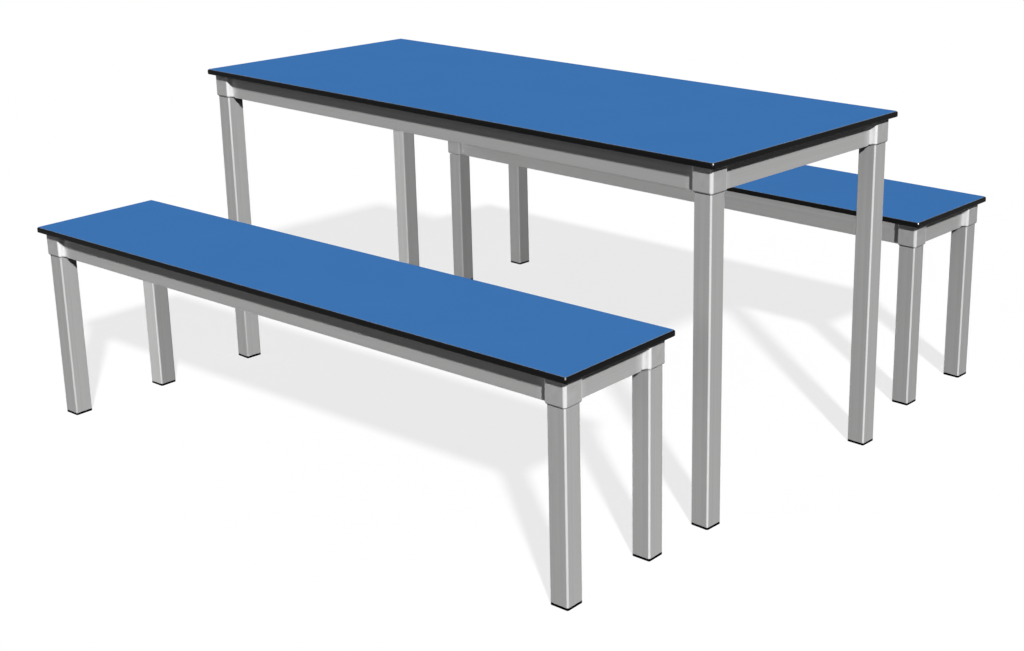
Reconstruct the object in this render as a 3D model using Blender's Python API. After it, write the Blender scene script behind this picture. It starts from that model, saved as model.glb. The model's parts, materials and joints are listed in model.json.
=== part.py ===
"""An outdoor table with two benches: laminate panels on plugged-together aluminium frames.

Each of the three stands alone. Its frame has four corner castings. Each casting has a spigot for the
leg below it and for the two rails beside it, and an ear that is screwed to the panel. Metres, +Z up,
+X along the table, the near bench on the -Y side. The origin is on the floor, under the middle of the set.
"""

import math

import bmesh
import bpy
from mathutils import Matrix, Vector

# The table and the benches over all
TABLE_LENGTH = 1.500
TABLE_WIDTH = 0.600
TABLE_HEIGHT = 0.710
BENCH_LENGTH = 1.500
BENCH_WIDTH = 0.300
BENCH_HEIGHT = 0.430

# How the benches stand: gap to the table's long edge, shift along +X, and turn in degrees
NEAR_BENCH_GAP = 0.135
NEAR_BENCH_SHIFT = 0.006
NEAR_BENCH_TURN = 3.1
FAR_BENCH_GAP = 0.177
FAR_BENCH_SHIFT = -0.0515
FAR_BENCH_TURN = 0.5

# Laminate panel: a black core with a coloured sheet bonded to its upper face
PANEL_THICKNESS = 0.012
PANEL_CORNER_RADIUS = 0.005
PANEL_CHAMFER = 0.0025
PANEL_OVERHANG = 0.016
SHEET_THICKNESS = 0.0008

# Leg tube
LEG_SIZE = 0.040
LEG_WALL = 0.002
LEG_CORNER_RADIUS = 0.0035

# Foot: a flange under the leg and a hollow plug inside it
FOOT_FLANGE = 0.0045
FOOT_CHAMFER = 0.0008
FOOT_PLUG_LENGTH = 0.022
FOOT_PLUG_WALL = 0.002

# Rail tube
RAIL_HEIGHT = 0.052
RAIL_THICKNESS = 0.020
RAIL_WALL = 0.002
RAIL_CORNER_RADIUS = 0.0015

# Corner casting: a block proud of the leg, a little shorter than the rails, with a flared arm for each rail
CASTING_PROUD = 0.0035
CASTING_CORNER_RADIUS = 0.006
CASTING_BOTTOM_RADIUS = 0.0045
CASTING_RISE = 0.0015
FLARE_LENGTH = 0.005
ARM_LAND = 0.002
RAIL_SPIGOT_LENGTH = 0.035
LEG_SPIGOT_LENGTH = 0.045
LEG_SPIGOT_WALL = 0.004
CASTING_ROOF = 0.006

# Ear at the inner corner of each casting, for the screw into the panel
EAR_REACH = 0.014
EAR_WIDTH = 0.018
EAR_THICKNESS = 0.005
EAR_DROP = 0.0005

# Angle bracket between each long rail's middle and the panel
BRACKET_LENGTH = 0.040
BRACKET_FLANGE = 0.026
BRACKET_THICKNESS = 0.003

SCREW_HOLE_DIAMETER = 0.0055
FIT_GAP = 0.0003

# How finely round stretches are divided, and up to what angle faces are shaded as one
CORNER_STEPS = 2
CASTING_STEPS = 3
HOLE_SIDES = 8
SMOOTH_ANGLE = 50

# Finishes: base colour in linear light, roughness and metallic
FINISHES = {
    "blue_laminate": ((0.047, 0.171, 0.440), 0.55, 0.0),
    "black_core": ((0.008, 0.008, 0.009), 0.50, 0.0),
    "extruded_aluminium": ((0.50, 0.50, 0.51), 0.45, 1.0),
    "cast_aluminium": ((0.48, 0.48, 0.49), 0.50, 1.0),
    "black_plastic": ((0.010, 0.010, 0.010), 0.55, 0.0),
    "plated_steel": ((0.52, 0.52, 0.54), 0.38, 1.0),
}

# Each corner's name, its sides of the unit, and the turn that brings the casting's arms inwards
CORNERS = (
    ("back_right", 1, 1, 0),
    ("back_left", -1, 1, 90),
    ("front_left", -1, -1, 180),
    ("front_right", 1, -1, 270),
)

# What follows from the driving dimensions
CASTING_HALF = LEG_SIZE / 2 + CASTING_PROUD
CASTING_HEIGHT = RAIL_HEIGHT - CASTING_RISE
ARM_REACH = CASTING_HALF + FLARE_LENGTH + ARM_LAND
LEG_INSIDE = LEG_SIZE - 2 * LEG_WALL
LEG_PLUG_SIZE = LEG_INSIDE - 2 * FIT_GAP
POST_INSET = PANEL_OVERHANG + LEG_SIZE / 2
LEG_INNER_RADIUS = max(LEG_CORNER_RADIUS - LEG_WALL, LEG_WALL / 2)
RAIL_INNER_RADIUS = RAIL_WALL / 4
ARM_EDGE_RADIUS = min(RAIL_CORNER_RADIUS, RAIL_WALL)
EAR_TIP = math.sqrt(2) * CASTING_HALF + EAR_REACH
EAR_SCREW_PLACE = EAR_TIP - EAR_WIDTH / 2


def clear_scene():
    for item in list(bpy.data.objects):
        bpy.data.objects.remove(item, do_unlink=True)


def make_finish(name):
    colour, roughness, metallic = FINISHES[name]
    finish = bpy.data.materials.new(name)
    finish.use_nodes = True
    shader = finish.node_tree.nodes["Principled BSDF"]
    shader.inputs["Base Color"].default_value = (*colour, 1.0)
    shader.inputs["Roughness"].default_value = roughness
    shader.inputs["Metallic"].default_value = metallic
    return finish


# Outlines and lofts


def arc(centre, radii, start, end, steps):
    """Points of an elliptic arc from start to end, in degrees."""
    points = []
    for step in range(steps + 1):
        angle = math.radians(start + (end - start) * step / steps)
        points.append((centre[0] + radii[0] * math.cos(angle), centre[1] + radii[1] * math.sin(angle)))
    return points


def rounded_rectangle(length, width, radius):
    """A rectangle about the origin with round corners, anticlockwise."""
    points = []
    for quarter, (side_x, side_y) in enumerate(((1, 1), (-1, 1), (-1, -1), (1, -1))):
        centre = (side_x * (length / 2 - radius), side_y * (width / 2 - radius))
        points += arc(centre, (radius, radius), 90 * quarter, 90 * quarter + 90, CORNER_STEPS)
    return points


def at_height(outline, z):
    return [Vector((x, y, z)) for x, y in outline]


def mesh_from(name, body):
    mesh = bpy.data.meshes.new(name)
    body.to_mesh(mesh)
    body.free()
    return mesh


def loft(name, loops, ring=False):
    """A closed mesh through loops of as many points. The ends are capped, or a ring joins last to first."""
    body = bmesh.new()
    rows = [[body.verts.new(point) for point in loop] for loop in loops]
    for lower, upper in zip(rows, rows[1:] + rows[:1] if ring else rows[1:]):
        for here in range(len(lower)):
            there = (here + 1) % len(lower)
            body.faces.new((lower[here], lower[there], upper[there], upper[here]))
    if not ring:
        body.faces.new(reversed(rows[0]))
        body.faces.new(rows[-1])
    return mesh_from(name, body)


def block(name, low, high):
    outline = ((low[0], low[1]), (high[0], low[1]), (high[0], high[1]), (low[0], high[1]))
    return loft(name, [at_height(outline, low[2]), at_height(outline, high[2])])


def rod(name, diameter, low, high, placing):
    """A round cutter along Z from low to high, moved by the matrix placing."""
    outline = arc((0, 0), (diameter / 2, diameter / 2), 0, 360, HOLE_SIDES)[:-1]
    mesh = loft(name, [at_height(outline, low), at_height(outline, high)])
    mesh.transform(placing)
    return mesh


def combine(mesh, tool_mesh, operation):
    """The mesh after a Boolean with a second mesh."""
    body = bpy.data.objects.new("working_body", mesh)
    tool = bpy.data.objects.new("working_tool", tool_mesh)
    for item in (body, tool):
        bpy.context.scene.collection.objects.link(item)
    change = body.modifiers.new("combine", "BOOLEAN")
    change.operation = operation
    change.object = tool
    graph = bpy.context.evaluated_depsgraph_get()
    result = bpy.data.meshes.new_from_object(body.evaluated_get(graph))
    result.name = mesh.name
    for item in (body, tool):
        bpy.data.objects.remove(item, do_unlink=True)
    return result


# Panels


def panel_core_mesh(length, width):
    """The black core. Its top leaves room for the coloured sheet, and z = 0 is its underside."""
    top = PANEL_THICKNESS - SHEET_THICKNESS - FIT_GAP
    full = rounded_rectangle(length, width, PANEL_CORNER_RADIUS)
    eased = sheet_outline(length, width)
    return loft(
        "panel_core",
        [
            at_height(eased, 0),
            at_height(full, PANEL_CHAMFER),
            at_height(full, top - PANEL_CHAMFER),
            at_height(eased, top),
        ],
    )


def sheet_outline(length, width):
    radius = max(PANEL_CORNER_RADIUS - PANEL_CHAMFER, PANEL_CORNER_RADIUS / 4)
    return rounded_rectangle(length - 2 * PANEL_CHAMFER, width - 2 * PANEL_CHAMFER, radius)


def panel_sheet_mesh(length, width):
    outline = sheet_outline(length, width)
    underside = PANEL_THICKNESS - SHEET_THICKNESS
    return loft("panel_sheet", [at_height(outline, underside), at_height(outline, PANEL_THICKNESS)])


# Tubes and feet


def leg_mesh(length):
    outer = rounded_rectangle(LEG_SIZE, LEG_SIZE, LEG_CORNER_RADIUS)
    inner = rounded_rectangle(LEG_INSIDE, LEG_INSIDE, LEG_INNER_RADIUS)
    loops = [at_height(outer, 0), at_height(outer, length), at_height(inner, length), at_height(inner, 0)]
    return loft("leg", loops, ring=True)


def rail_mesh(length):
    """A tube along X, centred, with its top at z = 0."""
    outer = rounded_rectangle(RAIL_HEIGHT, RAIL_THICKNESS, RAIL_CORNER_RADIUS)
    inner = rounded_rectangle(RAIL_HEIGHT - 2 * RAIL_WALL, RAIL_THICKNESS - 2 * RAIL_WALL, RAIL_INNER_RADIUS)
    start = -length / 2
    end = length / 2
    loops = [at_height(outer, start), at_height(outer, end), at_height(inner, end), at_height(inner, start)]
    mesh = loft("rail", loops, ring=True)
    mesh.transform(Matrix.Translation((0, 0, -RAIL_HEIGHT / 2)) @ Matrix.Rotation(math.pi / 2, 4, "Y"))
    return mesh


def foot_mesh():
    flange = rounded_rectangle(LEG_SIZE, LEG_SIZE, LEG_CORNER_RADIUS)
    tread_size = LEG_SIZE - 2 * FOOT_CHAMFER
    tread = rounded_rectangle(tread_size, tread_size, LEG_CORNER_RADIUS)
    plug = rounded_rectangle(LEG_PLUG_SIZE, LEG_PLUG_SIZE, LEG_INNER_RADIUS)
    hollow_size = LEG_PLUG_SIZE - 2 * FOOT_PLUG_WALL
    hollow = rounded_rectangle(hollow_size, hollow_size, LEG_INNER_RADIUS)
    plug_top = FOOT_FLANGE + FOOT_PLUG_LENGTH
    return loft(
        "foot",
        [
            at_height(tread, 0),
            at_height(flange, FOOT_CHAMFER),
            at_height(flange, FOOT_FLANGE),
            at_height(plug, FOOT_FLANGE),
            at_height(plug, plug_top),
            at_height(hollow, plug_top),
            at_height(hollow, FOOT_FLANGE),
        ],
    )


# Corner castings


def casting_outline():
    """Plan of the block and its two arms, anticlockwise: point, way into the metal, bottom edge radius."""
    corner = CASTING_HALF - CASTING_CORNER_RADIUS
    flare_end = CASTING_HALF + FLARE_LENGTH
    flare_depth = corner - RAIL_THICKNESS / 2
    outline = []

    def add_corner(side_x, side_y, start):
        centre = Vector((side_x * corner, side_y * corner))
        radii = (CASTING_CORNER_RADIUS, CASTING_CORNER_RADIUS)
        for point in arc(centre, radii, start, start + 90, CASTING_STEPS):
            outline.append((Vector(point), (centre - Vector(point)).normalized(), CASTING_BOTTOM_RADIUS))

    def add_arm(turn):
        """The arm towards -X, turned by turn degrees: a hollow flare, a land and the square end."""
        centre = Vector((-flare_end, corner))
        flare = arc(centre, (FLARE_LENGTH, flare_depth), 0, -90, CASTING_STEPS)[1:]
        side = []
        for step, point in enumerate(flare, start=1):
            away = Vector(point) - centre
            into = Vector((away.x / FLARE_LENGTH**2, away.y / flare_depth**2)).normalized()
            share = step / CASTING_STEPS
            radius = (1 - share) * CASTING_BOTTOM_RADIUS + share * ARM_EDGE_RADIUS
            side.append((Vector(point), into, radius))
        side.append((Vector((-ARM_REACH, RAIL_THICKNESS / 2)), Vector((0, -1)), ARM_EDGE_RADIUS))
        flipped = Matrix.Diagonal((1, -1))
        side += [(flipped @ point, flipped @ into, radius) for point, into, radius in reversed(side)]
        turned = Matrix.Rotation(math.radians(turn), 2)
        outline.extend((turned @ point, turned @ into, radius) for point, into, radius in side)

    add_corner(1, 1, 0)
    add_corner(-1, 1, 90)
    add_arm(0)
    add_corner(-1, -1, 180)
    add_arm(90)
    add_corner(1, -1, 270)
    return outline


def casting_body_mesh():
    """The block and arms from z = -CASTING_HEIGHT to 0, with their bottom edges rounded."""
    outline = casting_outline()
    loops = []
    for angle in (90, 45, 0):
        sunk = 1 - math.cos(math.radians(angle))
        lifted = 1 - math.sin(math.radians(angle))
        loop = []
        for point, into, radius in outline:
            inner = point + into * radius * sunk
            loop.append(Vector((inner.x, inner.y, lifted * radius - CASTING_HEIGHT)))
        loops.append(loop)
    loops.append([Vector((point.x, point.y, 0)) for point, into, radius in outline])
    return loft("casting", loops)


def ear_mesh():
    """The ear, from inside the block out along the inner diagonal."""
    tip = arc((EAR_SCREW_PLACE, 0), (EAR_WIDTH / 2, EAR_WIDTH / 2), -90, 90, 2 * CASTING_STEPS)
    outline = tip + [(CASTING_HALF / 2, EAR_WIDTH / 2), (CASTING_HALF / 2, -EAR_WIDTH / 2)]
    loops = [at_height(outline, -EAR_DROP - EAR_THICKNESS), at_height(outline, -EAR_DROP)]
    mesh = loft("ear", loops)
    mesh.transform(Matrix.Rotation(math.radians(225), 4, "Z"))
    return mesh


def leg_spigot_mesh(bottom):
    outline = rounded_rectangle(LEG_PLUG_SIZE, LEG_PLUG_SIZE, LEG_INNER_RADIUS)
    return loft("leg_spigot", [at_height(outline, bottom), at_height(outline, -CASTING_HEIGHT / 2)])


def casting_mesh():
    """The casting of the +X +Y corner, about its leg's axis, with its top at z = 0."""
    spigot_bottom = -CASTING_HEIGHT - LEG_SPIGOT_LENGTH
    hollow = LEG_PLUG_SIZE / 2 - LEG_SPIGOT_WALL
    inside = RAIL_THICKNESS / 2 - RAIL_WALL - FIT_GAP
    low = RAIL_WALL + FIT_GAP - RAIL_HEIGHT
    high = -RAIL_WALL - FIT_GAP
    tip = -ARM_REACH - RAIL_SPIGOT_LENGTH
    root = -ARM_REACH + ARM_LAND / 2
    added = (
        leg_spigot_mesh(spigot_bottom),
        block("rail_spigot", (tip, -inside, low), (root, inside, high)),
        block("rail_spigot", (-inside, tip, low), (inside, root, high)),
        ear_mesh(),
    )
    screw = Matrix.Translation((-EAR_SCREW_PLACE / math.sqrt(2), -EAR_SCREW_PLACE / math.sqrt(2), 0))
    removed = (
        block("hollow", (-hollow, -hollow, spigot_bottom - FIT_GAP), (hollow, hollow, -CASTING_ROOF)),
        rod("ear_hole", SCREW_HOLE_DIAMETER, -2 * EAR_THICKNESS, EAR_THICKNESS, screw),
    )
    mesh = casting_body_mesh()
    for tool in added:
        mesh = combine(mesh, tool, "UNION")
    for tool in removed:
        mesh = combine(mesh, tool, "DIFFERENCE")
    return mesh


# Brackets


def bracket_mesh():
    """An angle with one flange on the rail, at y = 0, and one under the panel, at z = 0."""
    profile = (
        (0, 0),
        (0, -BRACKET_FLANGE),
        (BRACKET_THICKNESS, -BRACKET_FLANGE),
        (BRACKET_THICKNESS, -BRACKET_THICKNESS),
        (BRACKET_FLANGE, -BRACKET_THICKNESS),
        (BRACKET_FLANGE, 0),
    )
    half = BRACKET_LENGTH / 2
    loops = [[Vector((x, y, z)) for y, z in profile] for x in (-half, half)]
    mesh = loft("bracket", loops)
    middle = (BRACKET_FLANGE + BRACKET_THICKNESS) / 2
    upright = Matrix.Translation((0, middle, 0))
    across = Matrix.Translation((0, 0, -middle)) @ Matrix.Rotation(math.pi / 2, 4, "X")
    for placing in (upright, across):
        hole = rod("bracket_hole", SCREW_HOLE_DIAMETER, -middle, middle, placing)
        mesh = combine(mesh, hole, "DIFFERENCE")
    return mesh


# Putting the three together


def half_reach(length, width, turn):
    """Half the size along X and Y of a panel with round corners, turned by turn degrees."""
    across = abs(math.sin(math.radians(turn)))
    along = math.cos(math.radians(turn))
    half_length = length / 2 - PANEL_CORNER_RADIUS
    half_width = width / 2 - PANEL_CORNER_RADIUS
    reach_x = half_length * along + half_width * across + PANEL_CORNER_RADIUS
    reach_y = half_length * across + half_width * along + PANEL_CORNER_RADIUS
    return Vector((reach_x, reach_y))


def units():
    """Each unit's name, size, place on the floor and turn."""
    near_y = -(TABLE_WIDTH / 2 + NEAR_BENCH_GAP + BENCH_WIDTH / 2)
    far_y = TABLE_WIDTH / 2 + FAR_BENCH_GAP + BENCH_WIDTH / 2
    table_size = (TABLE_LENGTH, TABLE_WIDTH, TABLE_HEIGHT)
    bench_size = (BENCH_LENGTH, BENCH_WIDTH, BENCH_HEIGHT)
    rows = (
        ("table", table_size, Vector((0, 0)), 0),
        ("near_bench", bench_size, Vector((NEAR_BENCH_SHIFT, near_y)), NEAR_BENCH_TURN),
        ("far_bench", bench_size, Vector((FAR_BENCH_SHIFT, far_y)), FAR_BENCH_TURN),
    )
    reaches = [(place, half_reach(size[0], size[1], turn)) for name, size, place, turn in rows]
    high = [max((place + reach)[axis] for place, reach in reaches) for axis in (0, 1)]
    low = [min((place - reach)[axis] for place, reach in reaches) for axis in (0, 1)]
    middle = (Vector(high) + Vector(low)) / 2
    return [(name, size, place - middle, turn) for name, size, place, turn in rows]


def dressed(mesh, finish):
    mesh.materials.append(finish)
    mesh.shade_smooth()
    mesh.set_sharp_from_angle(angle=math.radians(SMOOTH_ANGLE))
    return mesh


def add_piece(unit, name, mesh, place, turn=0):
    """One named piece of a unit, at a place in the unit and turned about Z by turn degrees."""
    piece = bpy.data.objects.new(f"{unit.name}_{name}", mesh)
    bpy.context.scene.collection.objects.link(piece)
    piece.parent = unit
    piece.location = place
    piece.rotation_euler.z = math.radians(turn)


def build_unit(name, size, place, turn, finishes, shared):
    length, width, height = size
    unit = bpy.data.objects.new(name, None)
    bpy.context.scene.collection.objects.link(unit)
    unit.location = (place.x, place.y, 0)
    unit.rotation_euler.z = math.radians(turn)

    underside = height - PANEL_THICKNESS
    frame_top = underside - FIT_GAP
    leg_bottom = FOOT_FLANGE + FIT_GAP
    leg_top = frame_top - CASTING_HEIGHT - FIT_GAP
    post_x = length / 2 - POST_INSET
    post_y = width / 2 - POST_INSET
    aluminium = finishes["extruded_aluminium"]

    core = dressed(panel_core_mesh(length, width), finishes["black_core"])
    sheet = dressed(panel_sheet_mesh(length, width), finishes["blue_laminate"])
    add_piece(unit, "panel_core", core, (0, 0, underside))
    add_piece(unit, "panel_blue_face", sheet, (0, 0, underside))

    leg = dressed(leg_mesh(leg_top - leg_bottom), aluminium)
    for corner, side_x, side_y, quarter in CORNERS:
        x = side_x * post_x
        y = side_y * post_y
        add_piece(unit, f"casting_{corner}", shared["casting"], (x, y, frame_top), quarter)
        add_piece(unit, f"leg_{corner}", leg, (x, y, leg_bottom))
        add_piece(unit, f"foot_{corner}", shared["foot"], (x, y, 0))

    arms = 2 * (ARM_REACH + FIT_GAP)
    long_rail = dressed(rail_mesh(2 * post_x - arms), aluminium)
    end_rail = dressed(rail_mesh(2 * post_y - arms), aluminium)
    bracket_y = post_y - RAIL_THICKNESS / 2 - FIT_GAP
    for side, sign, half_turn in (("front", -1, 0), ("back", 1, 180)):
        add_piece(unit, f"rail_{side}", long_rail, (0, sign * post_y, frame_top))
        add_piece(unit, f"bracket_{side}", shared["bracket"], (0, sign * bracket_y, frame_top), half_turn)
    for side, sign in (("left", -1), ("right", 1)):
        add_piece(unit, f"rail_{side}", end_rail, (sign * post_x, 0, frame_top), 90)


def main():
    clear_scene()
    finishes = {name: make_finish(name) for name in FINISHES}
    shared = {
        "casting": dressed(casting_mesh(), finishes["cast_aluminium"]),
        "foot": dressed(foot_mesh(), finishes["black_plastic"]),
        "bracket": dressed(bracket_mesh(), finishes["plated_steel"]),
    }
    for name, size, place, turn in units():
        build_unit(name, size, place, turn, finishes, shared)


main()
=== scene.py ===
import json
import math

import bmesh
import bpy
from mathutils import Matrix, Vector

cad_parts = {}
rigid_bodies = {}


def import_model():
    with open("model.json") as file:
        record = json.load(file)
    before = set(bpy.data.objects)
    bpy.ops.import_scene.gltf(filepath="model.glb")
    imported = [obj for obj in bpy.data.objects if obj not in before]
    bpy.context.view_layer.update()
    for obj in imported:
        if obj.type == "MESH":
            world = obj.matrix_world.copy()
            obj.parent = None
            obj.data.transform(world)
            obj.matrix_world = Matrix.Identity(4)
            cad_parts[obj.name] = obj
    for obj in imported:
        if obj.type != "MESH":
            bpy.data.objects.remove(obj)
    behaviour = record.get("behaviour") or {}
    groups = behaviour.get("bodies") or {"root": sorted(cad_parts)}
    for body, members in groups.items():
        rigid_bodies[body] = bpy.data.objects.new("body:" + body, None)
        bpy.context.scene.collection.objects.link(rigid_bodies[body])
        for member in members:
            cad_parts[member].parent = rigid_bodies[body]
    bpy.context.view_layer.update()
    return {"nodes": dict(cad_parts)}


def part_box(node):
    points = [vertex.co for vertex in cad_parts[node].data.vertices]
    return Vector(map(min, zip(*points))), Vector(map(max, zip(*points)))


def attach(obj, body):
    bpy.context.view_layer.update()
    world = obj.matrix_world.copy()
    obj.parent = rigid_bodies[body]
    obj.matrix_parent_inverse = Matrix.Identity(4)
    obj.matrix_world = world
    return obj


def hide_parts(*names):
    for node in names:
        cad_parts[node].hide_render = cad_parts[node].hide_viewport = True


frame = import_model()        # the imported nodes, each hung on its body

scene = bpy.context.scene
scene.view_settings.view_transform = "Standard"
print("frame loaded:", len(frame["nodes"]), "nodes")

unitNames = ("table", "near_bench", "far_bench")
cornerSides = {"back_right": (1, 1), "back_left": (-1, 1), "front_left": (-1, -1), "front_right": (1, -1)}
# the turn that brings a casting's arms inwards
cornerTurns = {"back_right": 0, "back_left": 90, "front_left": 180, "front_right": 270}


# Where the units stand

def rotation(degrees, axis="Z"):
    return Matrix.Rotation(math.radians(degrees), 4, axis)


def nodeMiddle(node):
    low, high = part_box(node)
    return (low + high) / 2


def readUnit(name):
    along = nodeMiddle(f"{name}_leg_front_right") - nodeMiddle(f"{name}_leg_front_left")
    middle = nodeMiddle(f"{name}_panel_core")
    turn = Matrix.Rotation(math.atan2(along.y, along.x), 4, "Z")
    place = Matrix.Translation((middle.x, middle.y, 0)) @ turn
    return {"name": name, "place": place, "inverse": place.inverted()}


def unitBox(unit, node):
    # a node's lowest and highest corners along the unit's own axes
    mesh = frame["nodes"][f"{unit['name']}_{node}"].data
    points = [unit["inverse"] @ vertex.co for vertex in mesh.vertices]
    low = Vector([min(point[axis] for point in points) for axis in range(3)])
    high = Vector([max(point[axis] for point in points) for axis in range(3)])
    return low, high


units = [readUnit(name) for name in unitNames]


# Mesh helpers. A loop is a list of (point, rim), where rim is 1 where a painted highlight lies on a rounded
# edge and 0 on a flat face

edges = {"rimRise": 6, "sharpAngle": 40}


def arcPoints(centre, radii, start, end, steps):
    points = []
    for step in range(steps + 1):
        angle = math.radians(start + (end - start) * step / steps)
        away = (radii[0] * math.cos(angle), radii[1] * math.sin(angle))
        points.append(Vector((centre[0] + away[0], centre[1] + away[1])))
    return points


def rimShare(step, steps):
    # 0 where a rounded corner starts and ends, 1 over its middle
    return min(1.0, edges["rimRise"] * step / steps * (1 - step / steps))


def roundedOutline(length, width, radius, steps, shareAt=rimShare):
    outline = []
    for quarter, (sideX, sideY) in enumerate(((1, 1), (-1, 1), (-1, -1), (1, -1))):
        centre = (sideX * (length / 2 - radius), sideY * (width / 2 - radius))
        corner = arcPoints(centre, (radius, radius), 90 * quarter, 90 * quarter + 90, steps)
        outline += [(point, shareAt(step, steps)) for step, point in enumerate(corner)]
    return outline


def lifted(outline, z, rim=None):
    return [(Vector((point.x, point.y, z)), share if rim is None else rim) for point, share in outline]


def loftMesh(name, loops, ring=False):
    body = bmesh.new()
    rimLayer = body.verts.layers.float.new("rim")
    rows = []
    for loop in loops:
        row = []
        for point, rim in loop:
            vertex = body.verts.new(point)
            vertex[rimLayer] = rim
            row.append(vertex)
        rows.append(row)
    nextRows = rows[1:] + rows[:1] if ring else rows[1:]
    for lower, upper in zip(rows, nextRows):
        for here in range(len(lower)):
            there = (here + 1) % len(lower)
            body.faces.new((lower[here], lower[there], upper[there], upper[here]))
    if not ring:
        body.faces.new(reversed(rows[0]))
        body.faces.new(rows[-1])
    mesh = bpy.data.meshes.new(name)
    body.to_mesh(mesh)
    body.free()
    return mesh


def combined(mesh, tool, operation):
    host = bpy.data.objects.new("boolHost", mesh)
    cutter = bpy.data.objects.new("boolCutter", tool)
    for item in (host, cutter):
        scene.collection.objects.link(item)
    change = host.modifiers.new("combine", "BOOLEAN")
    change.operation = operation
    change.object = cutter
    graph = bpy.context.evaluated_depsgraph_get()
    result = bpy.data.meshes.new_from_object(host.evaluated_get(graph))
    result.name = mesh.name
    for item in (host, cutter):
        bpy.data.objects.remove(item, do_unlink=True)
    return result


def finishMesh(mesh, *materials):
    for material in materials:
        mesh.materials.append(material)
    mesh.shade_smooth()
    mesh.set_sharp_from_angle(angle=math.radians(edges["sharpAngle"]))
    return mesh


def addPiece(unit, name, mesh, local, slotName, *nodes):
    piece = bpy.data.objects.new(f"{unit['name']}.{name}", mesh)
    scene.collection.objects.link(piece)
    piece.matrix_world = unit["place"] @ local
    # keeps the flats flat beside round edges
    evenShading = piece.modifiers.new("evenShading", "WEIGHTED_NORMAL")
    evenShading.keep_sharp = True
    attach(piece, unit["name"])
    if nodes:
        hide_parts(*[f"{unit['name']}_{node}" for node in nodes])
    return piece


# Shader helpers and the groups that several finishes share

noises = {"range": (0.3, 0.7), "grainDetail": 2.0, "cloudDetail": 3.0, "lineDetail": 3.0, "bandDetail": 2.0,
          "bandScale": 0.16, "cutDetail": 2.0}


def grey(value, warmth=0.0):
    return (value * (1 + warmth), value, value * (1 - warmth), 1)


def newGroup(name, inputs, outputs):
    group = bpy.data.node_groups.new(name, "ShaderNodeTree")
    for label, kind, value in inputs:
        socket = group.interface.new_socket(label, in_out="INPUT", socket_type=kind)
        if value is not None:
            socket.default_value = value
    for label, kind in outputs:
        group.interface.new_socket(label, in_out="OUTPUT", socket_type=kind)
    return group, group.nodes.new("NodeGroupInput"), group.nodes.new("NodeGroupOutput")


def addNode(tree, kind, inputs=None, **settings):
    node = tree.nodes.new(kind)
    for key, value in settings.items():
        setattr(node, key, value)
    for key, value in (inputs or {}).items():
        if isinstance(value, bpy.types.NodeSocket):
            tree.links.new(value, node.inputs[key])
        else:
            node.inputs[key].default_value = value
    return node


def fillGroup(tree, group, inputs):
    return addNode(tree, "ShaderNodeGroup", inputs, node_tree=group)


def addMath(tree, operation, first, second):
    return addNode(tree, "ShaderNodeMath", {0: first, 1: second}, operation=operation).outputs[0]


def addMix(tree, share, first, second):
    inputs = {"Factor": share, 6: first, 7: second}  # 6 and 7 are the colours
    return addNode(tree, "ShaderNodeMix", inputs, data_type="RGBA").outputs[2]


def weighted(tree, first, firstShare, second, secondShare):
    # the two values, each times its share, added up
    rest = addMath(tree, "MULTIPLY", second, secondShare)
    inputs = {0: first, 1: firstShare, 2: rest}
    return addNode(tree, "ShaderNodeMath", inputs, operation="MULTIPLY_ADD").outputs[0]


def spread(tree, value, low, high, toLow=0.0, toHigh=1.0):
    inputs = {"Value": value, "From Min": low, "From Max": high, "To Min": toLow, "To Max": toHigh}
    return addNode(tree, "ShaderNodeMapRange", inputs, clamp=True).outputs["Result"]


def stretched(tree, vector, x, y, z):
    pull = addNode(tree, "ShaderNodeCombineXYZ", {"X": x, "Y": y, "Z": z})
    inputs = {0: vector, 1: pull.outputs[0]}
    return addNode(tree, "ShaderNodeVectorMath", inputs, operation="MULTIPLY").outputs[0]


def addNoise(tree, vector, scale, detail):
    noise = addNode(tree, "ShaderNodeTexNoise", {"Vector": vector, "Scale": scale, "Detail": detail})
    return spread(tree, noise.outputs["Fac"], *noises["range"])


def makeFineGrain():
    # an even grain, and a slow cloud through it
    group, given, out = newGroup(
        "fineGrain",
        (("Vector", "NodeSocketVector", None), ("Grain Scale", "NodeSocketFloat", 900.0),
         ("Cloud Scale", "NodeSocketFloat", 8.0)),
        (("Grain", "NodeSocketFloat"), ("Cloud", "NodeSocketFloat")),
    )
    place = given.outputs["Vector"]
    grain = addNoise(group, place, given.outputs["Grain Scale"], noises["grainDetail"])
    cloud = addNoise(group, place, given.outputs["Cloud Scale"], noises["cloudDetail"])
    group.links.new(grain, out.inputs["Grain"])
    group.links.new(cloud, out.inputs["Cloud"])
    return group


def makeDrawnLines():
    # fine lines along the object's own Z, as a die leaves them, and broader bands among them
    group, given, out = newGroup(
        "drawnLines",
        (("Vector", "NodeSocketVector", None), ("Lines per Metre", "NodeSocketFloat", 900.0),
         ("Along", "NodeSocketFloat", 4.0)),
        (("Lines", "NodeSocketFloat"), ("Bands", "NodeSocketFloat")),
    )
    across = given.outputs["Lines per Metre"]
    drawn = stretched(group, given.outputs["Vector"], across, across, given.outputs["Along"])
    lines = addNoise(group, drawn, 1.0, noises["lineDetail"])
    bands = addNoise(group, drawn, noises["bandScale"], noises["bandDetail"])
    group.links.new(lines, out.inputs["Lines"])
    group.links.new(bands, out.inputs["Bands"])
    return group


def makePaintedRimHighlight():
    # painted highlight: rounded edges get a lighter colour than the flats, standing in for the light they
    # catch
    group, given, out = newGroup(
        "rimPolish",
        (("Base", "NodeSocketColor", grey(0.4)), ("Highlight", "NodeSocketColor", grey(0.8))),
        (("Colour", "NodeSocketColor"), ("Rim", "NodeSocketFloat")),
    )
    rim = addNode(group, "ShaderNodeAttribute", attribute_name="rim").outputs["Fac"]
    colour = addMix(group, rim, given.outputs["Base"], given.outputs["Highlight"])
    group.links.new(colour, out.inputs["Colour"])
    group.links.new(rim, out.inputs["Rim"])
    return group


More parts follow.
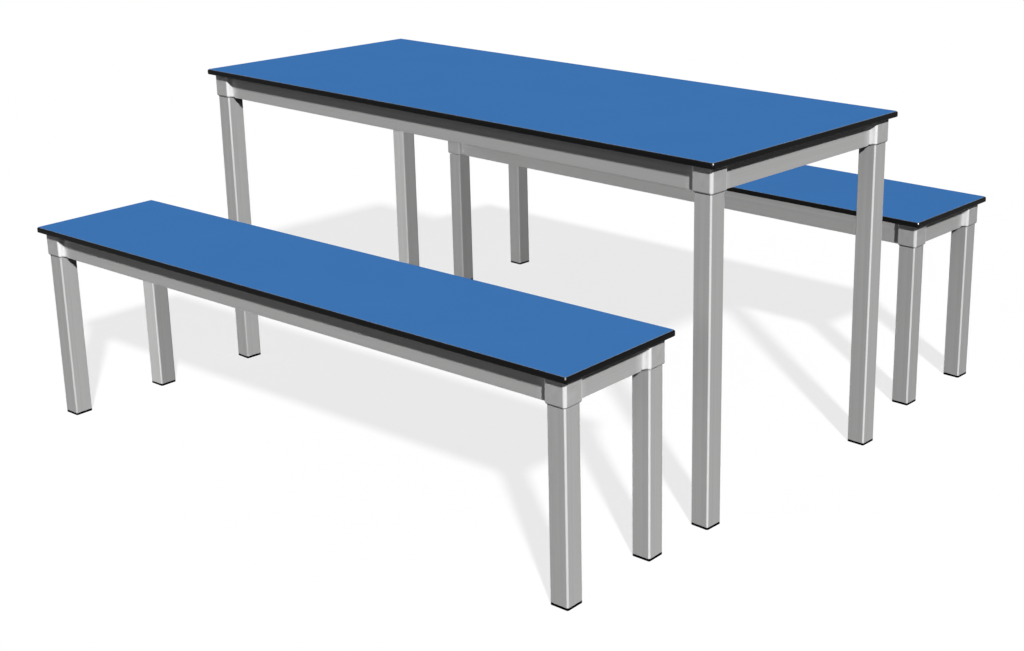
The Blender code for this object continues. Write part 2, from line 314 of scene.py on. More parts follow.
fineGrain = makeFineGrain()
drawnLines = makeDrawnLines()
rimPolish = makePaintedRimHighlight()


def newFinish(name, settings):
    material = bpy.data.materials.new(name)
    material.use_nodes = True
    tree = material.node_tree
    shader = tree.nodes["Principled BSDF"]
    shader.inputs["Metallic"].default_value = settings.get("metallic", 0.0)
    shader.inputs["Specular IOR Level"].default_value = settings["specular"]
    place = addNode(tree, "ShaderNodeTexCoord").outputs["Object"]
    return material, tree, shader, place


def addGrain(tree, place, settings):
    inputs = {"Vector": place, "Grain Scale": settings["grainScale"], "Cloud Scale": settings["cloudScale"]}
    node = fillGroup(tree, fineGrain, inputs)
    return node.outputs["Grain"], node.outputs["Cloud"]


def setColour(tree, shader, colour):
    tree.links.new(colour, shader.inputs["Base Color"])


def setRoughness(tree, shader, value, settings):
    roughness = spread(tree, value, 0, 1, settings["smooth"], settings["rough"])
    tree.links.new(roughness, shader.inputs["Roughness"])


def addBump(tree, shader, height, settings):
    inputs = {"Height": height, "Distance": settings["bumpDepth"], "Strength": settings["bumpStrength"]}
    bump = addNode(tree, "ShaderNodeBump", inputs)
    tree.links.new(bump.outputs["Normal"], shader.inputs["Normal"])


# Finishes

# rim is the lighter colour of a painted highlight along rounded edges
extruded = {
    "base": 0.292, "light": 0.346, "rim": 0.53, "warmth": 0.006, "metallic": 0.02, "specular": 0.04,
    "smooth": 0.44, "rough": 0.54, "linesPerMetre": 1100.0, "along": 5.0, "lineShare": 0.35, "bandShare": 0.5,
    "bumpDepth": 0.00002, "bumpStrength": 0.6,
}


def makeExtruded():
    material, tree, shader, place = newFinish("satinExtrusion", extruded)
    inputs = {"Vector": place, "Lines per Metre": extruded["linesPerMetre"], "Along": extruded["along"]}
    drawn = fillGroup(tree, drawnLines, inputs)
    lines = drawn.outputs["Lines"]
    shade = weighted(tree, lines, extruded["lineShare"], drawn.outputs["Bands"], extruded["bandShare"])
    dark = grey(extruded["base"], extruded["warmth"])
    light = grey(extruded["light"], extruded["warmth"])
    base = addMix(tree, shade, dark, light)
    rim = fillGroup(tree, rimPolish, {"Base": base, "Highlight": grey(extruded["rim"])})
    setColour(tree, shader, rim.outputs["Colour"])
    setRoughness(tree, shader, lines, extruded)
    addBump(tree, shader, lines, extruded)
    return material


# rim is the lighter colour of a painted highlight along rounded edges
cast = {
    "base": 0.302, "light": 0.346, "rim": 0.64, "warmth": 0.006, "metallic": 0.02, "specular": 0.04,
    "smooth": 0.46, "rough": 0.58, "grainScale": 1500.0, "cloudScale": 40.0, "bumpDepth": 0.00004,
    "bumpStrength": 0.5,
}


def makeCast():
    material, tree, shader, place = newFinish("blastedCasting", cast)
    grain, cloud = addGrain(tree, place, cast)
    base = addMix(tree, cloud, grey(cast["base"], cast["warmth"]), grey(cast["light"], cast["warmth"]))
    rim = fillGroup(tree, rimPolish, {"Base": base, "Highlight": grey(cast["rim"])})
    setColour(tree, shader, rim.outputs["Colour"])
    setRoughness(tree, shader, grain, cast)
    addBump(tree, shader, grain, cast)
    return material


laminate = {
    "deep": (0.0449, 0.1650, 0.4263, 1), "pale": (0.0491, 0.1757, 0.4495, 1), "specular": 0.0,
    "smooth": 0.48, "rough": 0.60, "grainScale": 700.0, "cloudScale": 6.0,
    "grainShare": 0.5, "cloudShare": 0.5, "bumpDepth": 0.00006, "bumpStrength": 0.6,
}


def makeLaminate():
    material, tree, shader, place = newFinish("blueLaminate", laminate)
    grain, cloud = addGrain(tree, place, laminate)
    share = weighted(tree, grain, laminate["grainShare"], cloud, laminate["cloudShare"])
    setColour(tree, shader, addMix(tree, share, laminate["deep"], laminate["pale"]))
    setRoughness(tree, shader, grain, laminate)
    addBump(tree, shader, grain, laminate)
    return material


cutEdge = {
    "deep": (0.08, 0.12, 0.18, 1), "pale": (0.18, 0.22, 0.28, 1), "specular": 0.1,
    "smooth": 0.42, "rough": 0.58, "grainScale": 500.0, "cloudScale": 30.0,
}


def makeCutEdge():
    # the cut through the coloured sheet, where its pale resin layer shows; its paler colour also paints the
    # light line along the panel's top edge
    material, tree, shader, place = newFinish("laminateCutEdge", cutEdge)
    grain, cloud = addGrain(tree, place, cutEdge)
    setColour(tree, shader, addMix(tree, grain, cutEdge["deep"], cutEdge["pale"]))
    setRoughness(tree, shader, cloud, cutEdge)
    return material


# the light grey at the panel's corners is a painted glint, not a colour of the core
core = {
    "base": (0.0030, 0.0030, 0.0029, 1), "light": (0.0070, 0.0068, 0.0066, 1), "eased": 0.27,
    "specular": 0.03, "smooth": 0.36, "rough": 0.50, "cutsPerMetre": 2400.0, "along": 12.0,
    "coatRoughness": 0.16, "coatIor": 1.5, "bumpDepth": 0.00003, "bumpStrength": 0.5,
}


def makeCore():
    # milled edge: fine cuts that run round the panel
    material, tree, shader, place = newFinish("blackCore", core)
    drawn = stretched(tree, place, core["along"], core["along"], core["cutsPerMetre"])
    cuts = addNoise(tree, drawn, 1.0, noises["cutDetail"])
    base = addMix(tree, cuts, core["base"], core["light"])
    rim = fillGroup(tree, rimPolish, {"Base": base, "Highlight": grey(core["eased"])})
    setColour(tree, shader, rim.outputs["Colour"])
    tree.links.new(rim.outputs["Rim"], shader.inputs["Coat Weight"])  # the rim mask also puts a glossy coat on the corners, under their painted glint
    shader.inputs["Coat Roughness"].default_value = core["coatRoughness"]
    shader.inputs["Coat IOR"].default_value = core["coatIor"]
    setRoughness(tree, shader, cuts, core)
    addBump(tree, shader, cuts, core)
    return material


plastic = {
    "base": (0.0012, 0.0012, 0.0013, 1), "light": (0.0028, 0.0028, 0.0029, 1), "specular": 0.0,
    "smooth": 0.45, "rough": 0.60, "grainScale": 1400.0, "cloudScale": 60.0, "bumpDepth": 0.00005,
    "bumpStrength": 0.5,
}


def makePlastic():
    material, tree, shader, place = newFinish("mouldedPlastic", plastic)
    grain, cloud = addGrain(tree, place, plastic)
    setColour(tree, shader, addMix(tree, cloud, plastic["base"], plastic["light"]))
    setRoughness(tree, shader, grain, plastic)
    addBump(tree, shader, grain, plastic)
    return material


zinc = {
    "deep": (0.40, 0.41, 0.43, 1), "pale": (0.56, 0.56, 0.56, 1), "metallic": 0.9, "specular": 0.5,
    "smooth": 0.30, "rough": 0.42, "grainScale": 700.0, "cloudScale": 90.0, "bumpDepth": 0.00001,
    "bumpStrength": 0.4,
}


def makeZinc():
    material, tree, shader, place = newFinish("zincPlate", zinc)
    grain, cloud = addGrain(tree, place, zinc)
    setColour(tree, shader, addMix(tree, cloud, zinc["deep"], zinc["pale"]))
    setRoughness(tree, shader, grain, zinc)
    addBump(tree, shader, grain, zinc)
    return material


finishes = {
    "extruded": makeExtruded(),
    "cast": makeCast(),
    "laminate": makeLaminate(),
    "cutEdge": makeCutEdge(),
    "core": makeCore(),
    "plastic": makePlastic(),
    "zinc": makeZinc(),
}
print("finishes made:", len(finishes))


# Panels: the black slab with eased edges, and the blue sheet on it

panel = {
    "cornerRadius": 0.005, "leastRadius": 0.00125, "easing": 0.0025, "cornerSteps": 12, "easeSteps": 5,
    "sheetEdge": 0.0002, "trim": 0.00001, "glintFrom": 0.6, "glintPower": 9, "facesUp": 0.9,
}


def glintShare(step, steps):
    # a thin line of painted glint down the middle of the corner: the power narrows a curve that is 1 there
    curve = 4 * step / steps * (1 - step / steps)
    return curve ** panel["glintPower"]


def slabMesh(length, width, thickness):
    def ring(inset, z, rim):
        radius = max(panel["cornerRadius"] - inset, panel["leastRadius"])
        size = (length - 2 * inset, width - 2 * inset)
        outline = roundedOutline(*size, radius, panel["cornerSteps"], glintShare)
        return lifted([(point, share * rim) for point, share in outline], z)

    ease = panel["easing"]
    under = arcPoints((ease, ease), (ease, ease), 270, 180, panel["easeSteps"])
    upper = arcPoints((ease, thickness - ease), (ease, ease), 180, 90, panel["easeSteps"])
    loops = [ring(point.x, point.y, 0.0) for point in under]
    # the painted glint fades in from this height to the upper easing, and is full over it
    loops.append(ring(0, panel["glintFrom"] * thickness, 0.0))
    loops += [ring(point.x, point.y, 1.0) for point in upper]
    return finishMesh(loftMesh("slab", loops), finishes["core"])


def sheetMesh(length, width, thickness):
    edge = panel["sheetEdge"]
    radius = panel["cornerRadius"] - panel["easing"]

    def ring(inset, z):
        size = (length - 2 * inset, width - 2 * inset)
        return lifted(roundedOutline(*size, radius - inset, panel["cornerSteps"]), z, 0.0)

    mesh = loftMesh("blueFace", [ring(0, 0), ring(0, thickness - edge), ring(edge, thickness)])
    finishMesh(mesh, finishes["laminate"], finishes["cutEdge"])
    for face in mesh.polygons:
        face.material_index = 0 if face.normal.z > panel["facesUp"] else 1
    return mesh


def addPanel(unit):
    coreLow, coreHigh = unitBox(unit, "panel_core")
    sheetLow, sheetHigh = unitBox(unit, "panel_blue_face")
    coreSize = coreHigh - coreLow
    sheetSize = sheetHigh - sheetLow
    trim = 2 * panel["trim"]
    slab = slabMesh(coreSize.x - trim, coreSize.y - trim, sheetLow.z - coreLow.z)
    sheet = sheetMesh(sheetSize.x - trim, sheetSize.y - trim, sheetSize.z)
    turn = unit["place"].to_3x3().to_4x4()  # goes into the meshes, so that their boxes lie along the room
    for mesh in (slab, sheet):
        mesh.transform(turn)
    back = turn.inverted()
    lay = Matrix.Translation((0, 0, coreLow.z)) @ back
    addPiece(unit, "slab", slab, lay, "black_core", "panel_core")
    lay = Matrix.Translation((0, 0, sheetLow.z)) @ back
    face = addPiece(unit, "blueFace", sheet, lay, "blue_laminate", "panel_blue_face")
    face.visible_diffuse = False  # throws no blue light on the frames beside it


# Legs and rails: extruded tubes, each modelled along its own Z
# ends: way from the tube's end, and how much painted highlight it has there
# per tube, how strong the painted rim highlight is at its start and end, lower on tubes that stand in shade;
# tubes not listed get the full highlight

leg = {
    "radius": 0.0035, "innerRadius": 0.0015, "wall": 0.002, "steps": 8, "endBreak": 0.0003, "topGap": 0.0004,
    "ends": ((0.0, 0.0),),
    "highlightScale": {
        "table.front_left": (0.0, 1.0), "table.back_left": (0.1, 0.1),
        "near_bench.front_left": (0.4, 0.6), "near_bench.front_right": (0.7, 1.0),
        "near_bench.back_left": (0.5, 0.5),
        "far_bench.front_left": (0.1, 0.1), "far_bench.back_left": (0.1, 0.1),
    },
}
rail = {
    "radius": 0.0015, "innerRadius": 0.0005, "wall": 0.002, "steps": 6, "endBreak": 0.0002,
    "ends": ((0.0, 0.48), (0.008, 0.21), (0.018, 0.0)),
    "highlightScale": {"far_bench.front": (0.2, 0.2)},
}
fullHighlight = (1.0, 1.0)


def tubeMesh(name, wide, thick, length, section, highlightScale):
    wall = section["wall"]
    rest = section["endBreak"]
    ends = section["ends"]
    tipHighlight = ends[0][1]

    def outside(inset, z, endHighlight):
        radius = section["radius"] - inset
        outline = roundedOutline(wide - 2 * inset, thick - 2 * inset, radius, section["steps"])
        sheen = highlightScale[0] + (highlightScale[1] - highlightScale[0]) * z / length
        return lifted([(point, sheen * max(share, endHighlight)) for point, share in outline], z)

    inside = roundedOutline(wide - 2 * wall, thick - 2 * wall, section["innerRadius"], section["steps"])
    loops = [outside(rest, 0, tipHighlight)]
    loops += [outside(0, rest + away, endHighlight) for away, endHighlight in ends]
    loops += [outside(0, length - rest - away, endHighlight) for away, endHighlight in reversed(ends)]
    loops.append(outside(rest, length, tipHighlight))
    loops += [lifted(inside, length, 0.0), lifted(inside, 0, 0.0)]
    return finishMesh(loftMesh(name, loops, ring=True), finishes["extruded"])


def addLegs(unit):
    for corner in cornerTurns:
        low, high = unitBox(unit, f"leg_{corner}")
        size = high - low
        middle = (low + high) / 2
        length = size.z - leg["topGap"]  # leaves a dark line under the casting
        highlightScale = leg["highlightScale"].get(f"{unit['name']}.{corner}", fullHighlight)
        mesh = tubeMesh("leg", size.x, size.y, length, leg, highlightScale)
        local = Matrix.Translation((middle.x, middle.y, low.z))
        addPiece(unit, f"leg.{corner}", mesh, local, "extruded_aluminium", f"leg_{corner}")


def addRails(unit):
    for side, along in (("front", 0), ("back", 0), ("left", 1), ("right", 1)):
        low, high = unitBox(unit, f"rail_{side}")
        size = high - low
        highlightScale = rail["highlightScale"].get(f"{unit['name']}.{side}", fullHighlight)
        mesh = tubeMesh("rail", size.z, size[1 - along], size[along], rail, highlightScale)
        start = (low + high) / 2
        start[along] = low[along]
        lay = rotation(90, "Y")  # the tube's Z becomes the unit's X
        if along:
            lay = rotation(90) @ lay
        local = Matrix.Translation(start) @ lay
        addPiece(unit, f"rail.{side}", mesh, local, "extruded_aluminium", f"rail_{side}")


# Corner castings

casting = {
    "cornerRadius": 0.006, "bottomRadius": 0.0045, "flare": 0.005, "land": 0.002, "railRadius": 0.0015,
    "legGap": 0.0003, "topBreak": 0.0004, "cornerSteps": 9, "flareSteps": 9, "bottomSteps": 6,
    "earReach": 0.014, "earWidth": 0.018, "earThickness": 0.005, "earDrop": 0.0005, "earTurn": 225,
    "earSteps": 12, "cornerHighlight": 0.74, "landHighlight": 0.40, "armRise": 3,
    # the far bench's left castings stand in shade and get no painted highlight
    "highlightScale": {"far_bench.front_left": 0.0, "far_bench.back_left": 0.0},
}


def castingOutline(half, railThickness):
    # plan of the block and its two arms: point, way into the metal, bottom edge radius, painted highlight
    # share
    corner = half - casting["cornerRadius"]
    flareEnd = half + casting["flare"]
    flareDepth = corner - railThickness / 2
    bottom = casting["bottomRadius"]
    steps = casting["cornerSteps"]
    outline = []

    def addCorner(sideX, sideY, start, rims):
        centre = Vector((sideX * corner, sideY * corner))
        radii = (casting["cornerRadius"], casting["cornerRadius"])
        points = arcPoints(centre, radii, start, start + 90, steps)
        for point, rim in zip(points, rims):
            outline.append((point, (centre - point).normalized(), bottom, rim))

    def addSide(side, lay, bright):
        for point, into, radius, rim in side:
            outline.append((lay @ point, lay @ into, radius, bright * rim))

    def addArm(turn, before, after):
        # before and after: how much painted highlight the flares on either side of the arm get
        centre = Vector((-flareEnd, corner))
        flare = arcPoints(centre, (casting["flare"], flareDepth), 0, -90, casting["flareSteps"])[1:]
        side = []
        for step, point in enumerate(flare, start=1):
            away = point - centre
            into = Vector((away.x / casting["flare"] ** 2, away.y / flareDepth ** 2)).normalized()
            share = step / casting["flareSteps"]
            radius = (1 - share) * bottom + share * casting["railRadius"]
            side.append((point, into, radius, 1 - share + share * casting["landHighlight"]))
        land = Vector((-flareEnd - casting["land"], railThickness / 2))
        side.append((land, Vector((0, -1)), casting["railRadius"], casting["landHighlight"]))
        turned = Matrix.Rotation(math.radians(turn), 2)
        addSide(side, turned, before)
        addSide(side[::-1], turned @ Matrix.Diagonal((1, -1)), after)

    # painted highlight: along the outer corner, rising towards the arms on the side corners, none on the
    # inner corner
    outer = [casting["cornerHighlight"] * rimShare(step, steps) for step in range(steps + 1)]
    towardsArm = [min(1.0, casting["armRise"] * step / steps) for step in range(steps + 1)]
    addCorner(1, 1, 0, outer)
    addCorner(-1, 1, 90, towardsArm)
    addArm(0, 1.0, 0.0)
    addCorner(-1, -1, 180, [0.0] * (steps + 1))
    addArm(90, 0.0, 1.0)
    addCorner(1, -1, 270, towardsArm[::-1])
    return outline


def castingBody(half, railThickness, height, highlightScale):
    outline = castingOutline(half, railThickness)
    rows = []
    for step in range(casting["bottomSteps"] + 1):
        angle = math.radians(90 - 90 * step / casting["bottomSteps"])
        inwards = 1 - math.cos(angle)
        upwards = 1 - math.sin(angle)
        rows.append([(point + into * radius * inwards, radius * upwards - height, rim)
                     for point, into, radius, rim in outline])
    for inset, z in ((0, -casting["topBreak"]), (casting["topBreak"], 0)):
        rows.append([(point + into * inset, z, rim) for point, into, radius, rim in outline])
    loops = [[(Vector((point.x, point.y, z)), highlightScale * rim) for point, z, rim in row] for row in rows]
    return loftMesh("casting", loops)


def earScrewPlace(half):
    return math.sqrt(2) * half + casting["earReach"] - casting["earWidth"] / 2


def earMesh(half):
    radius = casting["earWidth"] / 2
    tip = arcPoints((earScrewPlace(half), 0), (radius, radius), -90, 90, casting["earSteps"])
    root = [Vector((half / 2, radius)), Vector((half / 2, -radius))]  # well inside the block
    outline = [(point, 0.0) for point in tip + root]
    top = -casting["earDrop"]
    mesh = loftMesh("ear", [lifted(outline, top - casting["earThickness"]), lifted(outline, top)])
    mesh.transform(rotation(casting["earTurn"]))
    return mesh


def castingMesh(half, railThickness, height, highlightScale):
    mesh = combined(castingBody(half, railThickness, height, highlightScale), earMesh(half), "UNION")
    return finishMesh(mesh, finishes["cast"])


def addCastings(unit):
    legLow, legHigh = unitBox(unit, "leg_back_right")
    railLow, railHigh = unitBox(unit, "rail_back")
    high = unitBox(unit, "casting_back_right")[1]
    half = high.x - (legLow.x + legHigh.x) / 2
    height = high.z - legHigh.z - casting["legGap"]
    for corner, turn in cornerTurns.items():
        highlightScale = casting["highlightScale"].get(f"{unit['name']}.{corner}", 1.0)
        mesh = castingMesh(half, railHigh.y - railLow.y, height, highlightScale)
        legLow, legHigh = unitBox(unit, f"leg_{corner}")
        middle = (legLow + legHigh) / 2
        local = Matrix.Translation((middle.x, middle.y, high.z)) @ rotation(turn)
        addPiece(unit, f"casting.{corner}", mesh, local, "cast_aluminium", f"casting_{corner}")


# Feet

foot = {
    "radius": 0.0035, "flange": 0.0045, "edge": 0.0004, "plugInset": 0.0023, "plugRadius": 0.0015,
    "steps": 8, "edgeSteps": 4,
}


def footMesh(size, height):
    def ring(inset, z, radius=foot["radius"]):
        return lifted(roundedOutline(size - 2 * inset, size - 2 * inset, radius, foot["steps"]), z, 0.0)

    edge = foot["edge"]
    tread = arcPoints((edge, edge), (edge, edge), 270, 180, foot["edgeSteps"])
    loops = [ring(point.x, point.y, foot["radius"] - point.x) for point in tread]
    loops.append(ring(0, foot["flange"]))
    loops.append(ring(foot["plugInset"], foot["flange"], foot["plugRadius"]))
    loops.append(ring(foot["plugInset"], height, foot["plugRadius"]))
    return finishMesh(loftMesh("foot", loops), finishes["plastic"])


def addFeet(unit):
    low, high = unitBox(unit, "foot_back_right")
    mesh = footMesh(high.x - low.x, high.z - low.z)
    for corner in cornerTurns:
        low, high = unitBox(unit, f"foot_{corner}")
        middle = (low + high) / 2
        local = Matrix.Translation((middle.x, middle.y, low.z))
        addPiece(unit, f"foot.{corner}", mesh, local, "black_plastic", f"foot_{corner}")


# Angle brackets and the screws

bracket = {"thickness": 0.003, "bend": 0.0035, "bendSteps": 6, "cornerRadius": 0.005, "cornerSteps": 8}
screw = {
    "radius": 0.0046, "rise": 0.0026, "rimRise": 0.0007, "sides": 28, "domeStart": 75, "domeSteps": 6,
    "slotWidth": 0.0011, "slotReach": 0.0024, "slotDepth": 0.0016, "slotMouth": 1.3, "slotFloor": 0.55,
}


def bracketMesh(length, flange):
    # an angle along X: one flange down the rail, at y = 0, and one inwards under the panel, at z = 0
    thick = bracket["thickness"]
    bend = bracket["bend"]
    half = length / 2
    stations = []
    for step in range(bracket["cornerSteps"] + 1):
        angle = math.radians(90 * step / bracket["cornerSteps"])
        short = bracket["cornerRadius"] * (1 - math.sin(angle))
        stations.append((-half + bracket["cornerRadius"] * (1 - math.cos(angle)), flange - short))
    stations += [(-x, reach) for x, reach in reversed(stations)]
    outer = arcPoints((bend, -bend), (bend, bend), 90, 180, bracket["bendSteps"])
    inner = arcPoints((bend, -bend), (bend - thick, bend - thick), 180, 90, bracket["bendSteps"])
    loops = []
    for x, reach in stations:
        profile = outer + [Vector((0, -reach)), Vector((thick, -reach))] + inner
        profile += [Vector((reach, -thick)), Vector((reach, 0))]
        loops.append([(Vector((x, point.x, point.y)), 0.0) for point in profile])
    return finishMesh(loftMesh("bracket", loops), finishes["zinc"])


def slotMesh(turn):
    # one bar of the cross recess, narrower at its floor than at its mouth
    reach = screw["slotReach"]
    wide = screw["slotWidth"] / 2
    outline = ((-reach, -wide), (reach, -wide), (reach, wide), (-reach, wide))
    mouth = -2 * screw["rise"]  # well past the head
    floorLevel = screw["slotDepth"] - screw["rise"]
    loops = []
    for share, z in ((screw["slotMouth"], mouth), (screw["slotFloor"], floorLevel)):
        loops.append([(Vector((x * share, y * share, z)), 0.0) for x, y in outline])
    mesh = loftMesh("recess", loops)
    mesh.transform(rotation(turn))
    return mesh


def screwMesh():
    # a pan head that sits on z = 0 and points down
    def ring(radius, z):
        points = arcPoints((0, 0), (radius, radius), 0, 360, screw["sides"])[:-1]
        return [(Vector((point.x, point.y, z)), 0.0) for point in points]

    domeRadii = (screw["radius"], screw["rise"] - screw["rimRise"])
    dome = arcPoints((0, 0), domeRadii, screw["domeStart"], 0, screw["domeSteps"])
    loops = [ring(point.x, -screw["rimRise"] - point.y) for point in dome]
    loops.append(ring(screw["radius"], 0))
    mesh = loftMesh("screw", loops)
    for turn in (0, 90):
        mesh = combined(mesh, slotMesh(turn), "DIFFERENCE")
    return mesh


def joinedMesh(name, mesh, places):
    body = bmesh.new()
    for place in places:
        copy = mesh.copy()
        copy.transform(place)
        body.from_mesh(copy)
        bpy.data.meshes.remove(copy)
    result = bpy.data.meshes.new(name)
    body.to_mesh(result)
    body.free()
    return finishMesh(result, finishes["zinc"])


def addFixings(unit, head):
    low, high = unitBox(unit, "bracket_front")
    flange = high.y - low.y
    thick = bracket["thickness"]
    middle = (flange + thick) / 2
    mesh = bracketMesh(high.x - low.x, flange)
    facing = rotation(90, "X")  # the head's -Z becomes +Y, inwards
    places = []
    for side, turn in (("front", 0), ("back", 180)):
        low, high = unitBox(unit, f"bracket_{side}")
        seat = low.y if side == "front" else high.y
        local = Matrix.Translation((0, seat, high.z)) @ rotation(turn)
        addPiece(unit, f"bracket.{side}", mesh, local, "plated_steel", f"bracket_{side}")
        places.append(local @ Matrix.Translation((0, middle, -thick)))
        places.append(local @ Matrix.Translation((0, thick, -middle)) @ facing)
    for corner, (sideX, sideY) in cornerSides.items():
        legLow, legHigh = unitBox(unit, f"leg_{corner}")
        castLow, castHigh = unitBox(unit, f"casting_{corner}")
        post = (legLow + legHigh) / 2
        outer = castHigh.x - post.x if sideX > 0 else post.x - castLow.x
        away = earScrewPlace(outer) / math.sqrt(2)
        under = castHigh.z - casting["earDrop"] - casting["earThickness"]
        places.append(Matrix.Translation((post.x - sideX * away, post.y - sideY * away, under)))
    screws = joinedMesh("screws", head, places)
    addPiece(unit, "screws", screws, Matrix.Identity(4), "plated_steel")


screwHead = screwMesh()
for unit in units:
    addPanel(unit)
    addLegs(unit)
    addRails(unit)
    addCastings(unit)
    addFeet(unit)
    addFixings(unit, screwHead)
    print("dressed:", unit["name"])


# Floor, light and camera

floorLook = {"radius": 40.0, "drop": 0.0004, "sides": 96, "seen": 1.0, "bounce": 0.04, "glow": 0.80}
sky = {"level": 0.045}
keyLight = {"towards": (1.39, -1.0, 1.15), "strength": 5.2, "spread": 3.0}
lamps = {
    "keyLamp": keyLight,
    "fillLamp": {"towards": (-0.35, -1.0, 0.22), "strength": 0.48, "spread": 40.0},
    "backLamp": {"towards": (-1.0, 0.8, 0.25), "strength": 3.8, "spread": 20.0},
}
# each lights its own pieces, given by how their names start, in the key light's place,
# and only the other pieces of their unit throw shadows in it
linkedLamps = {
    "farPanelLamp": {**keyLight, "unit": "far_bench", "pieces": ("slab", "blueFace")},
    "farFrameLamp": {"towards": (0.75, -1.0, 0.0), "strength": 2.75, "spread": 15.0, "unit": "far_bench",
                     "pieces": ("leg.front_left", "leg.back_left", "casting.front_left")},
    "farRailLamp": {"towards": (1.39, -1.0, 0.05), "strength": 3.77, "spread": 3.0, "unit": "far_bench",
                    "pieces": ("rail.front",)},
    "farEndLamp": {**keyLight, "strength": 4.6, "unit": "far_bench",
                   "pieces": ("rail.right", "leg.front_right", "leg.back_right", "casting.front_right",
                              "casting.back_right")},
    "tableFrontLegLamp": {**keyLight, "unit": "table", "pieces": ("leg.front_left",)},
    "tableBackLegLamp": {"towards": (0.6, -1.0, 0.0), "strength": 4.2, "spread": 15.0, "unit": "table",
                         "pieces": ("leg.back_left",)},
    "nearFrameLamp": {"towards": (1.63, -1.0, 1.29), "strength": 5.5, "spread": 3.0, "unit": "near_bench",
                      "pieces": ("rail", "casting", "leg.front", "leg.back_right", "foot")},
    "nearBackLegLamp": {"towards": (0.68, -1.0, 0.0), "strength": 4.8, "spread": 15.0, "unit": "near_bench",
                        "pieces": ("leg.back_left",)},
}
# fromTable in metres, from the floor under the table's middle; angles in degrees;
# focal, centre and size in pixels of the picture; sensor in millimetres
view = {"fromTable": (2.4196, -2.4440, 1.3470), "azimuth": 42.233, "elevation": 16.391, "roll": -0.513,
        "focal": 1603.44, "centre": (595.94, 253.08), "size": (1024, 651), "sensor": 36.0}


def seenRay(tree):
    path = addNode(tree, "ShaderNodeLightPath")
    direct = addMath(tree, "MAXIMUM", path.outputs["Is Camera Ray"], path.outputs["Is Glossy Ray"])
    return addMath(tree, "MAXIMUM", direct, path.outputs["Is Transmission Ray"])


def mixShaders(tree, share, first, second):
    inputs = {0: share, 1: first.outputs[0], 2: second.outputs[0]}
    return addNode(tree, "ShaderNodeMixShader", inputs)


def makeFloor():
    body = bmesh.new()
    bmesh.ops.create_circle(body, cap_ends=True, segments=floorLook["sides"], radius=floorLook["radius"])
    mesh = bpy.data.meshes.new("paleFloor")
    body.to_mesh(mesh)
    body.free()
    material = bpy.data.materials.new("paleFloor")
    material.use_nodes = True
    tree = material.node_tree
    tree.nodes.clear()
    pale = addNode(tree, "ShaderNodeBsdfDiffuse", {"Color": grey(floorLook["seen"])})
    glow = addNode(tree, "ShaderNodeEmission", {"Color": grey(1.0), "Strength": 1.0})
    shown = mixShaders(tree, floorLook["glow"], pale, glow)
    bounce = addNode(tree, "ShaderNodeBsdfDiffuse", {"Color": grey(floorLook["bounce"])})
    both = mixShaders(tree, seenRay(tree), bounce, shown)
    addNode(tree, "ShaderNodeOutputMaterial", {"Surface": both.outputs[0]})
    mesh.materials.append(material)
    floor = bpy.data.objects.new("paleFloor", mesh)
    floor.location.z = -floorLook["drop"]
    scene.collection.objects.link(floor)
    return floor


def makeSky():
    world = bpy.data.worlds.new("studio")
    world.use_nodes = True
    tree = world.node_tree
    tree.nodes.clear()
    lit = addNode(tree, "ShaderNodeBackground", {"Color": grey(1.0), "Strength": sky["level"]})
    white = addNode(tree, "ShaderNodeBackground", {"Color": grey(1.0), "Strength": 1.0})
    both = mixShaders(tree, seenRay(tree), lit, white)
    addNode(tree, "ShaderNodeOutputWorld", {"Surface": both.outputs[0]})
    scene.world = world


def makeLamp(name, lamp):
    light = bpy.data.lights.new(name, "SUN")
    light.energy = lamp["strength"]
    light.angle = math.radians(lamp["spread"])
    holder = bpy.data.objects.new(name, light)
    holder.rotation_euler = Vector(lamp["towards"]).to_track_quat("Z", "Y").to_euler()
    scene.collection.objects.link(holder)
    return holder


def lampGroup(name, pieces, state):
    group = bpy.data.collections.new(name)
    for piece in pieces:
        group.objects.link(piece)
    for entry in group.collection_objects:
        entry.light_linking.link_state = state
    return group


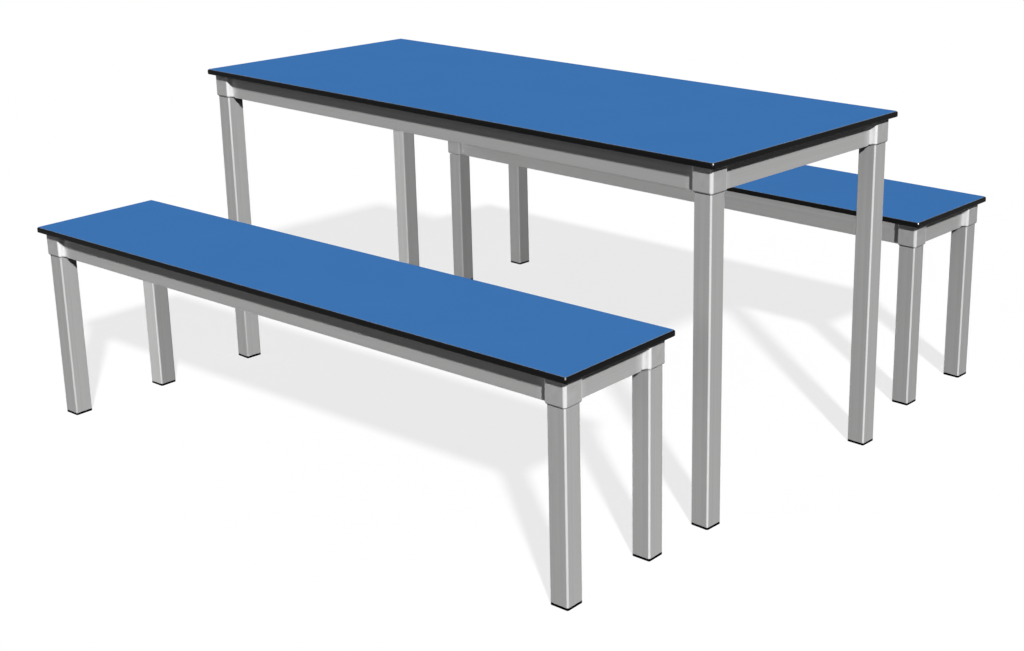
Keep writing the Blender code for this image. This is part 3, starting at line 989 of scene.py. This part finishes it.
def makeLinkedLamp(name, lamp):
    holder = makeLamp(name, lamp)
    unitPieces = [item for item in scene.objects if item.name.startswith(f"{lamp['unit']}.")]
    starts = tuple(f"{lamp['unit']}.{piece}" for piece in lamp["pieces"])
    pieces = [item for item in unitPieces if item.name.startswith(starts)]
    holder.light_linking.receiver_collection = lampGroup(f"{name}Lights", pieces, "INCLUDE")
    holder.light_linking.blocker_collection = lampGroup(f"{name}Shades", unitPieces, "INCLUDE")
    return pieces


def makeCamera():
    azimuth = math.radians(view["azimuth"])
    elevation = math.radians(view["elevation"])
    roll = math.radians(view["roll"])
    level = math.cos(elevation)
    back = Vector((math.sin(azimuth) * level, -math.cos(azimuth) * level, math.sin(elevation)))
    right = Vector((math.cos(azimuth), math.sin(azimuth), 0))
    up = back.cross(right)
    rolledRight = math.cos(roll) * right + math.sin(roll) * up
    rolledUp = math.cos(roll) * up - math.sin(roll) * right
    axes = Matrix((rolledRight, rolledUp, back)).transposed()
    width, height = view["size"]
    lens = bpy.data.cameras.new("camera")
    lens.sensor_fit = "HORIZONTAL"
    lens.sensor_width = view["sensor"]
    lens.lens = view["focal"] / width * view["sensor"]
    lens.shift_x = (width / 2 - view["centre"][0]) / width
    lens.shift_y = (view["centre"][1] - height / 2) / width
    camera = bpy.data.objects.new("camera", lens)
    middle = nodeMiddle("table_panel_core")
    place = Vector((middle.x, middle.y, 0)) + Vector(view["fromTable"])
    camera.matrix_world = Matrix.Translation(place) @ axes.to_4x4()
    scene.collection.objects.link(camera)
    scene.camera = camera


floor = makeFloor()
makeSky()
sunLamps = {name: makeLamp(name, lamp) for name, lamp in lamps.items()}
leftOut = []
for name, lamp in linkedLamps.items():
    leftOut += makeLinkedLamp(name, lamp)
sunLamps["keyLamp"].light_linking.receiver_collection = lampGroup("keyLeavesOut", leftOut, "EXCLUDE")
tops = [bpy.data.objects[f"{name}.blueFace"] for name in unitNames]
sunLamps["backLamp"].light_linking.receiver_collection = lampGroup("backLeavesOut", tops + [floor], "EXCLUDE")
makeCamera()
print("floor, light and camera set")

bpy.context.view_layer.update()
